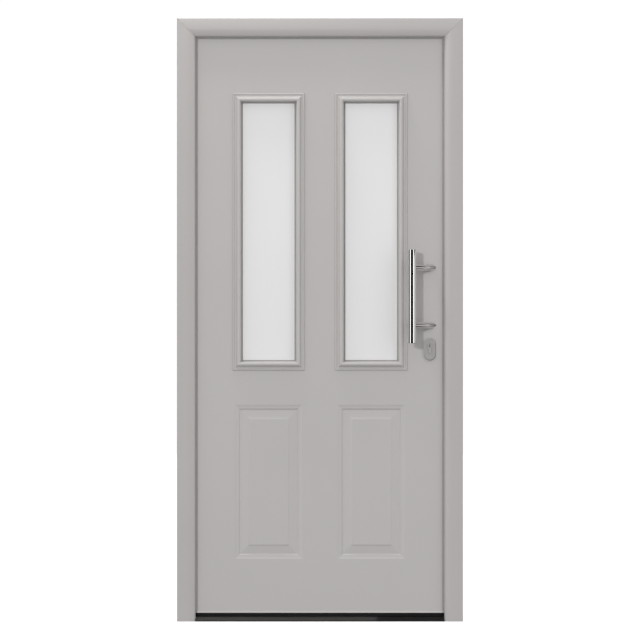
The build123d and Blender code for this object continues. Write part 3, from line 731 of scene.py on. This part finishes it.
def circle(x, z, radius, steps=48):
    """Points round a circle."""
    angles = [2 * math.pi * step / steps for step in range(steps)]
    return [(x + radius * math.cos(angle), z + radius * math.sin(angle)) for angle in angles]


def stacked(mesh, layers):
    """Walls between outlines of as many points, each at its own place along Y."""
    loops = [[mesh.verts.new((x, y, z)) for x, z in outline] for outline, y in layers]
    for first, last in zip(loops, loops[1:]):
        walls(mesh, first, last)
    return loops[0], loops[-1]


def round_over(low, high, from_y, to_y, rounding, steps=5):
    """Ovals of a plate from its seat to its face, with a rounded rim."""
    direction = math.copysign(1, to_y - from_y)
    layers = [(oval(low, high), from_y)]
    for step in range(steps + 1):
        angle = math.pi / 2 * step / steps
        inset = rounding * (1 - math.cos(angle))
        layers.append((oval(low, high, inset), to_y - direction * rounding * (1 - math.sin(angle))))
    return layers


mesh = bmesh.new()
layers = round_over(plate_low, plate_high, plate_high.y, plate_low.y, plate_edge)
layers += [
    (oval(plate_low, plate_high, plate_ring), plate_low.y),
    (oval(plate_low, plate_high, plate_ring + dish_slope), plate_low.y + plate_dish),
]
seat, field = stacked(mesh, layers)
hole = cylinder_loop(cylinder_gap)
hole_front, hole_back = stacked(mesh, [(hole, plate_low.y + plate_dish), (hole, plate_high.y)])
fill_between(mesh, [field, hole_front])
fill_between(mesh, [seat, hole_back])
plate_coat = powder_coat("escutcheon_coat", plate_grey, 0.34)
fit(piece_from(mesh, "oval_escutcheon"), plate_coat, "leaf", "frame_paint", "outer_escutcheon")


def satin_nickel(name, base):
    """Blasted and lacquered nickel plate, which scatters more than it mirrors."""
    finish = Finish(name, {"Metallic": 0.4})
    grit = finish.grain(1800.0, 2.0)
    tone = finish.between(grit, shade(base, 0.92), base)
    return finish.surface({"Base Color": tone, "Roughness": 0.42 + grit * 0.12,
                           "Normal": finish.relief(grit, 0.00001)})


nickel = satin_nickel("satin_nickel", (0.52, 0.507, 0.49, 1.0))
mesh = bmesh.new()
body = cylinder_loop()
bore = circle(cylinder_x, cylinder_z, plug_radius + plug_gap)
bore_end = plug_high.y + plug_end_gap
key_loop = rectangle((cylinder_x, cylinder_z), keyway)
front, back = stacked(mesh, [(body, cylinder_low.y), (body, cylinder_high.y)])
bore_front, bore_floor = stacked(mesh, [(bore, cylinder_low.y), (bore, bore_end)])
key_back = cylinder_high.y - keyway_depth
key_front, key_floor = stacked(mesh, [(key_loop, cylinder_high.y), (key_loop, key_back)])
fill_between(mesh, [front, bore_front])
fill_between(mesh, [back, key_front])
fill_between(mesh, [bore_floor])
fill_between(mesh, [key_floor])
fit(piece_from(mesh, "profile_cylinder", 0.0003), nickel, "leaf", "nickel", "lock_cylinder")

mesh = bmesh.new()
plug = circle(cylinder_x, cylinder_z, plug_radius)
front, back = stacked(mesh, [(plug, plug_low.y), (plug, plug_high.y)])
key_front, key_floor = stacked(mesh, [(key_loop, plug_low.y), (key_loop, plug_low.y + keyway_depth)])
fill_between(mesh, [front, key_front])
fill_between(mesh, [back])
fill_between(mesh, [key_floor])
plug_nickel = satin_nickel("plug_nickel", (0.46, 0.445, 0.42, 1.0))
fit(piece_from(mesh, "cylinder_plug", 0.0002), plug_nickel, "plug", "nickel", "lock_plug")


# Backplate and lever inside. A long backplate of silver anodised aluminium carries a round lever with a
# mitred neck, and two screws at its ends go through to the outer side.
back_low, back_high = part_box("inner_backplate")
lever_low, lever_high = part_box("inner_lever")
back_corner = 0.008
back_edge = 0.002
lever_radius = (lever_high.z - lever_low.z) / 2
lever_edge = 0.003
lever_z = (lever_low.z + lever_high.z) / 2
grip_y = lever_high.y - lever_radius


def round_rectangle(low, high, corner, inset=0.0, steps=6):
    """An upright rectangle with round corners inside a box, drawn in by an inset."""
    points = []
    centres = ((high.x - corner, high.z - corner), (low.x + corner, high.z - corner),
               (low.x + corner, low.z + corner), (high.x - corner, low.z + corner))
    for quarter, (x, z) in enumerate(centres):
        for step in range(steps + 1):
            angle = math.pi / 2 * (quarter + step / steps)
            points.append((x + (corner - inset) * math.cos(angle), z + (corner - inset) * math.sin(angle)))
    return points


mesh = bmesh.new()
layers = [(round_rectangle(back_low, back_high, back_corner), back_low.y)]
for step in range(6):
    angle = math.pi / 2 * step / 5
    inset = back_edge * (1 - math.cos(angle))
    y = back_high.y - back_edge * (1 - math.sin(angle))
    layers.append((round_rectangle(back_low, back_high, back_corner, inset), y))
seat, face = stacked(mesh, layers)
hole_back, hole_front = stacked(mesh, [(hole, back_low.y), (hole, back_high.y)])
fill_between(mesh, [seat, hole_back])
fill_between(mesh, [face, hole_front])
silver = anodised("silver_anodised", (0.5, 0.5, 0.5, 1.0), (0.66, 0.66, 0.655, 1.0))
fit(piece_from(mesh, "inside_backplate"), silver, "leaf", "inside_fittings", "inner_backplate")

mesh = bmesh.new()
lever_sides = 48
neck, elbow, grip = [], [], []
for step in range(lever_sides):
    angle = 2 * math.pi * step / lever_sides
    across = lever_radius * math.cos(angle)
    z = lever_z + lever_radius * math.sin(angle)
    neck.append(mesh.verts.new((cylinder_x + across, back_high.y, z)))
    elbow.append(mesh.verts.new((cylinder_x + across, grip_y + across, z)))
    grip.append((across / lever_radius, math.sin(angle)))
loops = [neck, elbow]
for step in range(7):
    angle = math.pi / 2 * step / 6
    radius = lever_radius - lever_edge * (1 - math.cos(angle))
    x = lever_low.x + lever_edge * (1 - math.sin(angle))
    loops.append([mesh.verts.new((x, grip_y + radius * i, lever_z + radius * j)) for i, j in grip])
for first, last in zip(loops, loops[1:]):
    walls(mesh, first, last)
mesh.faces.new(loops[0])
mesh.faces.new(loops[-1])
fit(piece_from(mesh, "inside_lever"), silver, "leaf", "inside_fittings", "inner_lever")


# Faceplate, bolts and strike plates. Zinc plated steel strips, one let into the leaf's edge with the latch,
# the bolt and two hooks behind it, and three facing it in the frame. Countersunk screws with a cross recess
# hold them.
recess_length = 1.15
recess_width = 0.24
screw_radius = 0.0035
screw_height = 0.0012
screw_proud = screw_height / 4
face_screw_heights = (0.16, 0.5, 0.75, 1.2, 1.5, 1.7, 1.926)
strike_screw_heights = (0.212, 0.288, 0.879, 1.087, 1.798, 1.874)
back_screw_margin = 0.014


def plated(name):
    """Zinc plated steel, satin and slightly blotched."""
    finish = Finish(name, {"Metallic": 1.0})
    blotches = finish.grain(140.0, 4.0)
    lines = finish.grain(1600.0, 2.0, (1.0, 1.0, 0.04))
    tone = finish.between(blotches, (0.36, 0.36, 0.375, 1.0), (0.56, 0.56, 0.565, 1.0))
    return finish.surface({"Base Color": tone, "Roughness": 0.28 + blotches * 0.15,
                           "Normal": finish.relief(lines, 0.00001)})


def screw_tree(material):
    """Nodes that set a countersunk screw head with a cross recess on every point of a mesh."""
    tree = bpy.data.node_groups.new("screw_heads", "GeometryNodeTree")
    sockets = (("Geometry", "NodeSocketGeometry"), ("Head radius", "NodeSocketFloat"),
               ("Head height", "NodeSocketFloat"), ("Turn", "NodeSocketVector"))
    for label, kind in sockets:
        tree.interface.new_socket(label, in_out="INPUT", socket_type=kind)
    tree.interface.new_socket("Geometry", in_out="OUTPUT", socket_type="NodeSocketGeometry")

    def add(kind, inputs, **settings):
        node = tree.nodes.new(kind)
        for setting, value in settings.items():
            setattr(node, setting, value)
        for socket, value in inputs.items():
            if isinstance(value, bpy.types.NodeSocket):
                tree.links.new(value, node.inputs[socket])
            else:
                node.inputs[socket].default_value = value
        return node

    given = add("NodeGroupInput", {})
    radius, height = given.outputs["Head radius"], given.outputs["Head height"]
    head = add("GeometryNodeMeshCylinder", {"Vertices": 24, "Radius": radius, "Depth": height})
    long_side = add("ShaderNodeMath", {0: radius, 1: recess_length}, operation="MULTIPLY").outputs[0]
    short_side = add("ShaderNodeMath", {0: radius, 1: recess_width}, operation="MULTIPLY").outputs[0]
    half_height = add("ShaderNodeMath", {0: height, 1: 0.5}, operation="MULTIPLY").outputs[0]
    raised = add("ShaderNodeCombineXYZ", {"Z": half_height})
    bars = []
    for x, y in ((long_side, short_side), (short_side, long_side)):
        size = add("ShaderNodeCombineXYZ", {"X": x, "Y": y, "Z": height}).outputs[0]
        cube = add("GeometryNodeMeshCube", {"Size": size}).outputs[0]
        moved = add("GeometryNodeTransform", {"Geometry": cube, "Translation": raised.outputs[0]})
        bars.append(moved.outputs[0])
    cut = head
    for bar in bars:
        meshes = {"Mesh 1": cut.outputs[0], "Mesh 2": bar}
        cut = add("GeometryNodeMeshBoolean", meshes, operation="DIFFERENCE")
    placed = add("GeometryNodeInstanceOnPoints", {
        "Points": given.outputs["Geometry"], "Instance": cut.outputs[0], "Rotation": given.outputs["Turn"]})
    plain = add("GeometryNodeRealizeInstances", {"Geometry": placed.outputs[0]})
    coated = add("GeometryNodeSetMaterial", {"Geometry": plain.outputs[0], "Material": material})
    add("NodeGroupOutput", {"Geometry": coated.outputs[0]})
    return tree


plated_steel = plated("zinc_plated_steel")
screw_nodes = screw_tree(plated_steel)


def screws(name, places, facing, radius, height, body):
    """Screw heads at the given places, facing one way, as one plain piece on one body."""
    data = bpy.data.meshes.new(name + "_places")
    data.from_pydata(places, [], [])
    holder = bpy.data.objects.new(name + "_places", data)
    bpy.context.scene.collection.objects.link(holder)
    modifier = holder.modifiers.new("screw heads", "NODES")
    modifier.node_group = screw_nodes
    settings = {"Head radius": radius, "Head height": height,
                "Turn": tuple(Vector(facing).to_track_quat("Z", "Y").to_euler())}
    for item in screw_nodes.interface.items_tree:
        if item.in_out == "INPUT" and item.name in settings:
            modifier[item.identifier] = settings[item.name]
    shaped = holder.evaluated_get(bpy.context.evaluated_depsgraph_get())
    plain = bpy.data.meshes.new_from_object(shaped)
    plain.name = name
    bpy.data.objects.remove(holder)
    piece = bpy.data.objects.new(name, plain)
    bpy.context.scene.collection.objects.link(piece)
    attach(piece, body)
    return piece


face_low, face_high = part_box("lock_faceplate")
strike_low, strike_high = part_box("strike_plates")
for node, name, body in (
    ("lock_faceplate", "plated_faceplate", "leaf"),
    ("lock_bolts", "plated_bolts", "leaf"),
    ("strike_plates", "plated_strikes", "frame"),
):
    fit(softened(node, name, 0.00025), plated_steel, body, "plated_steel", node)
face_middle = (face_low.y + face_high.y) / 2
face_screws = [(face_high.x + screw_proud, face_middle, z) for z in face_screw_heights]
screws("faceplate_screws", face_screws, (1, 0, 0), screw_radius, screw_height, "leaf")
strike_middle = (strike_low.y + strike_high.y) / 2
strike_screws = [(strike_low.x - screw_proud, strike_middle, z) for z in strike_screw_heights]
screws("strike_screws", strike_screws, (-1, 0, 0), screw_radius, screw_height, "frame")
back_heights = (back_low.z + back_screw_margin, back_high.z - back_screw_margin)
back_screws = [(cylinder_x, back_high.y + screw_proud, z) for z in back_heights]
screws("backplate_screws", back_screws, (0, 1, 0), screw_radius, screw_height, "leaf")


# Hinges. Three barrel hinges inside, each with the lower knuckle and the pin on the frame half and the upper
# knuckle on the leaf half, powder coated like the frame. Four countersunk screws hold each plate.
hinge_coat = powder_coat("hinge_powder_coat", frame_grey, 0.36)
plate_thickness = 0.004
plate_screw_radius = 0.0038
plate_screw_height = 0.001
plate_screw_proud = 0.0002
frame_screw_edge = 0.0048
leaf_screw_edge = 0.014
frame_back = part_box("head_inner_profile")[1].y
plate_screw_offsets = (-0.044, -0.018, 0.018, 0.044)
for place in ("lower", "middle", "upper"):
    for half, body in (("frame_half", "frame"), ("leaf_half", "leaf")):
        node = f"{place}_hinge_{half}"
        piece = softened(node, f"{node}_painted", 0.0008, crease=32.0)
        fit(piece, hinge_coat, body, "hinge_paint", node)
        low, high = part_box(node)
        if half == "frame_half":
            screw_x, plate_face = low.x + frame_screw_edge, frame_back + plate_thickness
        else:
            screw_x, plate_face = high.x - leaf_screw_edge, leaf_back + plate_thickness
        screw_y = plate_face + plate_screw_proud
        places = [(screw_x, screw_y, (low.z + high.z) / 2 + offset) for offset in plate_screw_offsets]
        screws(f"{node}_screws", places, (0, 1, 0), plate_screw_radius, plate_screw_height, body)


# Floor and light. A pale floor and a white background, a small distant key from the left front, a tall soft
# panel on the right, two soft lights from above, and light cards and dark flags that only metal shows.
photo_width = 2.2368
lens_distance = 24.0
sensor_width = 36.0
view_centre = Vector((0.0002, 0.0, 1.0546))

floor_finish = Finish("pale_floor", {"Roughness": 0.6, "Emission Strength": 0.75})
floor_cloud = floor_finish.grain(1.2, 2.0)
floor_tone = floor_finish.between(floor_cloud, (0.9, 0.9, 0.9, 1.0), (0.94, 0.94, 0.94, 1.0))
floor_material = floor_finish.surface({"Base Color": floor_tone, "Emission Color": floor_tone})
mesh = bmesh.new()
floor_reach = 30.0
for x, y in four_corners:
    mesh.verts.new((x * floor_reach, y * floor_reach, 0))
mesh.faces.new(mesh.verts)
floor = piece_from(mesh, "studio_floor", closed=False)
floor.data.materials.append(floor_material)
floor.visible_diffuse = False
floor.visible_glossy = False

world = bpy.data.worlds.new("studio")
bpy.context.scene.world = world
world.use_nodes = True
sky = world.node_tree
level_light = 0.685
lift_light = 0.35
behind_light = 0.6
behind_slope = -1.5
behind_start = 0.6
backdrop_light = 1.05


def sky_sum(operation, first, second, third=0.0, clamp=False):
    """One sum on the world's direction."""
    node = sky.nodes.new("ShaderNodeMath")
    node.operation = operation
    node.use_clamp = clamp
    for socket, value in zip(node.inputs, (first, second, third)):
        if isinstance(value, bpy.types.NodeSocket):
            sky.links.new(value, socket)
        else:
            socket.default_value = value
    return node.outputs[0]


place = sky.nodes.new("ShaderNodeTexCoord")
parts = sky.nodes.new("ShaderNodeSeparateXYZ")
sky.links.new(place.outputs["Generated"], parts.inputs[0])
height_light = sky_sum("MULTIPLY_ADD", parts.outputs["Z"], lift_light, level_light)
before = sky_sum("MULTIPLY_ADD", parts.outputs["Y"], behind_slope, behind_start, clamp=True)
facing = sky_sum("MULTIPLY_ADD", before, 1.0 - behind_light, behind_light)
sky.links.new(sky_sum("MULTIPLY", height_light, facing), sky.nodes["Background"].inputs["Strength"])
sky.nodes["Background"].inputs["Color"].default_value = (1.0, 1.0, 1.0, 1.0)
backdrop = sky.nodes.new("ShaderNodeBackground")
backdrop.inputs["Color"].default_value = (1.0, 1.0, 1.0, 1.0)
backdrop.inputs["Strength"].default_value = backdrop_light
rays = sky.nodes.new("ShaderNodeLightPath")
seen = sky.nodes.new("ShaderNodeMixShader")
sky.links.new(rays.outputs["Is Camera Ray"], seen.inputs[0])
sky.links.new(sky.nodes["Background"].outputs[0], seen.inputs[1])
sky.links.new(backdrop.outputs[0], seen.inputs[2])
sky.links.new(seen.outputs[0], sky.nodes["World Output"].inputs["Surface"])


def soft_light(name, azimuth, elevation, distance, size, power, target=(0.0, 0.0, 1.1), glossy=True):
    """A soft light aimed at the door, set by its bearing from the front and its height in degrees."""
    data = bpy.data.lights.new(name, "AREA")
    data.shape = "RECTANGLE"
    data.size, data.size_y = size
    data.energy = power
    lamp = bpy.data.objects.new(name, data)
    bpy.context.scene.collection.objects.link(lamp)
    bearing = math.radians(azimuth)
    lift = math.radians(elevation)
    way = Vector((math.sin(bearing) * math.cos(lift), -math.cos(bearing) * math.cos(lift), math.sin(lift)))
    lamp.location = Vector(target) + way * distance
    lamp.rotation_euler = way.to_track_quat("Z", "Y").to_euler()
    lamp.visible_camera = False
    lamp.visible_glossy = glossy
    return lamp


soft_light("key", -18, 12, 12.0, (0.96, 1.2), 520, glossy=False)
soft_light("right_panel", 46, 6, 4.0, (1.4, 3.0), 18, glossy=False)
soft_light("overhead", 0, 60, 3.5, (3.0, 2.0), 3, glossy=False)
soft_light("top_light", -12, 83, 1.3, (0.5, 0.2), 25, target=(-0.6, -0.04, 2.1), glossy=False)
soft_light("left_card", -40, 6, 4.0, (1.4, 3.0), 13).visible_diffuse = False
soft_light("right_card", 44, 6, 4.0, (1.4, 3.0), 12).visible_diffuse = False

felt = {"Base Color": (0.003, 0.003, 0.003, 1.0), "Roughness": 1.0, "Specular IOR Level": 0.0}
black_felt = Finish("black_felt", felt).material


def dark_flag(name, middle, half_width, half_height):
    """A black card that only shows in polished metal, set by its middle and its two half sides."""
    corners = [Vector(middle) + i * Vector(half_width) + j * Vector(half_height) for i, j in four_corners]
    data = bpy.data.meshes.new(name)
    data.from_pydata(corners, [], [(0, 1, 2, 3)])
    data.materials.append(black_felt)
    flag = bpy.data.objects.new(name, data)
    bpy.context.scene.collection.objects.link(flag)
    flag.visible_camera = False
    flag.visible_diffuse = False
    flag.visible_shadow = False
    flag.visible_transmission = False


side_distance = 2.2
dark_flag("front_flag", (bar_centre.x, -2.5, view_centre.z), (1.6, 0, 0), (0, 0, 3.0))
dark_flag("left_flag", (-side_distance, -0.65, view_centre.z), (0, 0.8, 0), (0, 0, 3.0))
dark_flag("right_high_flag", (side_distance, -0.4, bar_centre.z + 0.95), (0, 0.9, 0), (0, 0, 0.6))
dark_flag("right_low_flag", (side_distance, -0.4, bar_centre.z - 1.15), (0, 0.9, 0), (0, 0, 0.6))
dark_flag("ground_flag", (1.6, -0.6, 0.02), (1.4, 0, 0), (0, 1.2, 0))

camera_data = bpy.data.cameras.new("camera")
camera_data.sensor_width = sensor_width
camera_data.lens = sensor_width * lens_distance / photo_width
camera_data.clip_end = 100.0
camera = bpy.data.objects.new("camera", camera_data)
bpy.context.scene.collection.objects.link(camera)
camera.location = (view_centre.x, front_y - lens_distance, view_centre.z)
camera.rotation_euler = (math.pi / 2, 0, 0)
bpy.context.scene.camera = camera
bpy.context.scene.view_settings.view_transform = "Standard"
